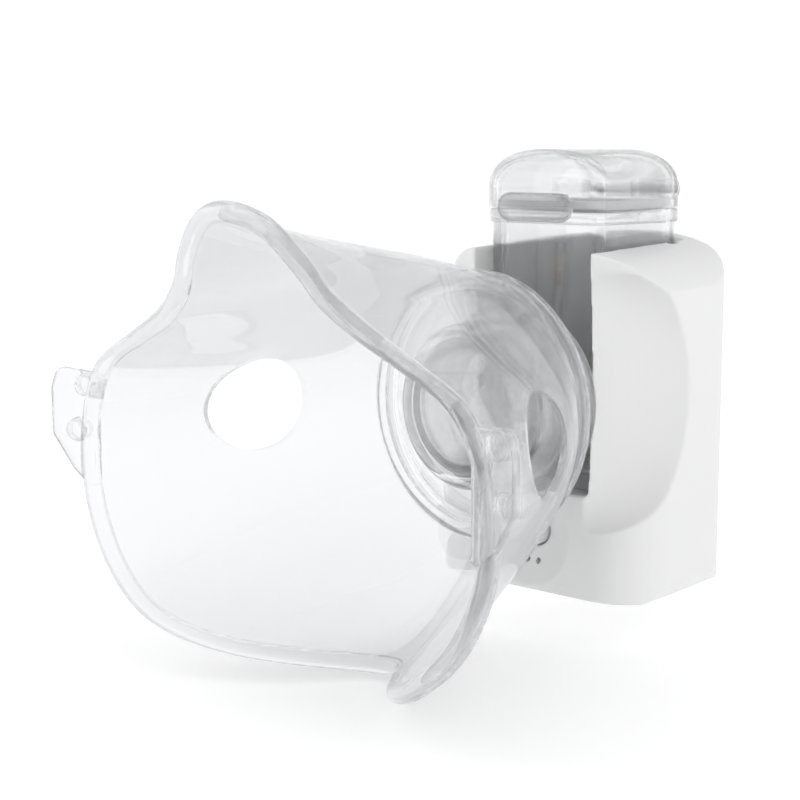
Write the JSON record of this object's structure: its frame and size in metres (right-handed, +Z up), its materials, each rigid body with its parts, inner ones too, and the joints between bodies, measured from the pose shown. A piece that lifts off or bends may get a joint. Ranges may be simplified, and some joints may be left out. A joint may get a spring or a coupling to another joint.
{
  "type": "tabletop nebulizer",
  "caption": "Battery mesh nebulizer: white base with upright wings, clear medicine cup with hinged lid held in a notch, and a clear face mask on its outlet.",
  "frame": {"origin": "middle of the flat underside of the base", "axes": "+Z up, -Y the way the mask faces, +X across the wings"},
  "size_m": [0.1262, 0.1294, 0.1077],
  "materials": {
    "white_plastic": "fine matt moulded",
    "inner_plastic": "matt moulded",
    "button_plastic": "satin moulded",
    "clear_plastic": "clear polished",
    "clear_pvc": "clear soft glossy",
    "silicone": "matt translucent",
    "screw_steel": "satin",
    "nickel": "satin plated",
    "gold_plate": "polished plated",
    "circuit_board": "solder mask",
    "flex_strip": "film",
    "chip_black": "moulded",
    "cell_sleeve": "shrink sleeve",
    "ceramic": "fired",
    "lamp_white": "moulded",
    "light_guide": "smoked clear"
  },
  "bodies": {
    "base": {"housing": "white_plastic", "bottom_cover": "white_plastic", "cover_screws": "screw_steel", "chassis": "inner_plastic", "battery_cell": "cell_sleeve", "battery_tabs": "nickel", "main_board": "circuit_board", "board_chips": "chip_black", "board_screws": "screw_steel", "charging_socket": "nickel", "switch_board": "circuit_board", "tact_switch": "chip_black", "indicator_leds": "lamp_white", "light_guides": "light_guide", "contact_barrels": "gold_plate", "contact_flex": "flex_strip"},
    "button": {"power_button": "button_plastic", "switch_plunger": "chip_black"},
    "pin_upper": {"contact_plunger_upper": "gold_plate"},
    "pin_lower": {"contact_plunger_lower": "gold_plate"},
    "cup": {"medicine_cup": "clear_plastic", "mesh_seal_rear": "silicone", "mesh_plate": "nickel", "piezo_ring": "ceramic", "mesh_seal_front": "silicone", "mesh_retainer": "clear_plastic", "nozzle_collar": "clear_plastic", "contact_pads": "gold_plate"},
    "lid": {"lid_shell": "clear_plastic", "lid_seal": "silicone", "lid_latch": "clear_plastic", "hinge_pin": "screw_steel"},
    "connector": {"mask_connector": "clear_plastic"},
    "mask": {"mask_shell": "clear_pvc"}
  },
  "joints": [
    {"name": "button_press", "type": "slide", "parent": "base", "child": "button", "axis": [0, 1, 0], "range_m": [0, 0.0006], "stiffness_N_per_m": 600, "springref_m": -0.0008},
    {"name": "pin_upper_press", "type": "slide", "parent": "base", "child": "pin_upper", "axis": [-1, 0, 0], "range_m": [0, 0.0006], "stiffness_N_per_m": 300, "springref_m": -0.001},
    {"name": "pin_lower_press", "type": "slide", "parent": "base", "child": "pin_lower", "axis": [-1, 0, 0], "range_m": [0, 0.0006], "stiffness_N_per_m": 300, "springref_m": -0.001},
    {"name": "cup_lift", "type": "slide", "parent": "base", "child": "cup", "axis": [0, 0, 1], "range_m": [0, 0.06]},
    {"name": "lid_hinge", "type": "hinge", "parent": "cup", "child": "lid", "pos_m": [0, 0.0172, 0.088], "axis": [-1, 0, 0], "range_deg": [0, 110]},
    {"name": "connector_pull", "type": "slide", "parent": "cup", "child": "connector", "axis": [0, -1, 0], "range_m": [0, 0.03]},
    {"name": "mask_swivel", "type": "hinge", "parent": "connector", "child": "mask", "pos_m": [0, -0.0385, 0.043], "axis": [0, -1, 0], "continuous": true}
  ]
}
